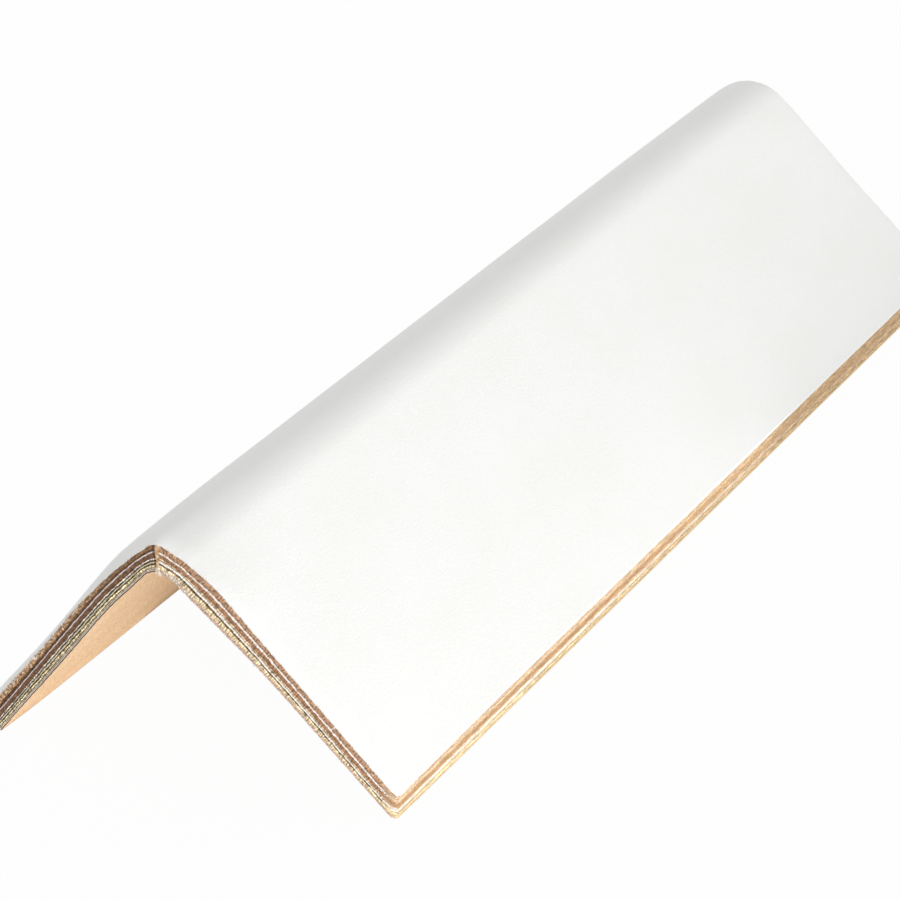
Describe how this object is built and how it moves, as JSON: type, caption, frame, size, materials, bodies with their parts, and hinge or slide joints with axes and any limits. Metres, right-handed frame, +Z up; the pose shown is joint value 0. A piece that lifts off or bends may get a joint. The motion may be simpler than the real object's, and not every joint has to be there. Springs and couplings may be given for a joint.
{
  "type": "pallet edge protector",
  "caption": "Laminated paperboard angle with a rounded fold, white outside and kraft inside, laid over a pallet load's edge to spread the pull of straps.",
  "frame": {"origin": "on the floor, midway between the two slit edges and midway between the two cut ends", "axes": "+Z up through the crown of the fold, +Y along the fold away from the near cut end, +X across the legs"},
  "size_m": [0.0688, 0.183, 0.0372],
  "materials": {
    "white_paper": "satin white facing paper",
    "brown_board": "fibrous brown recycled board",
    "pale_paper": "matt off-white paper",
    "tan_board": "fibrous tan recycled board",
    "dark_board": "fibrous dark brown board",
    "kraft_paper": "matt speckled kraft paper"
  },
  "bodies": {
    "root": {"white_liner": "white_paper", "outer_ply": "brown_board", "pale_ply": "pale_paper", "second_ply": "brown_board", "third_ply": "tan_board", "cream_ply": "pale_paper", "fourth_ply": "dark_board", "inner_ply": "tan_board", "kraft_liner": "kraft_paper"}
  },
  "joints": []
}
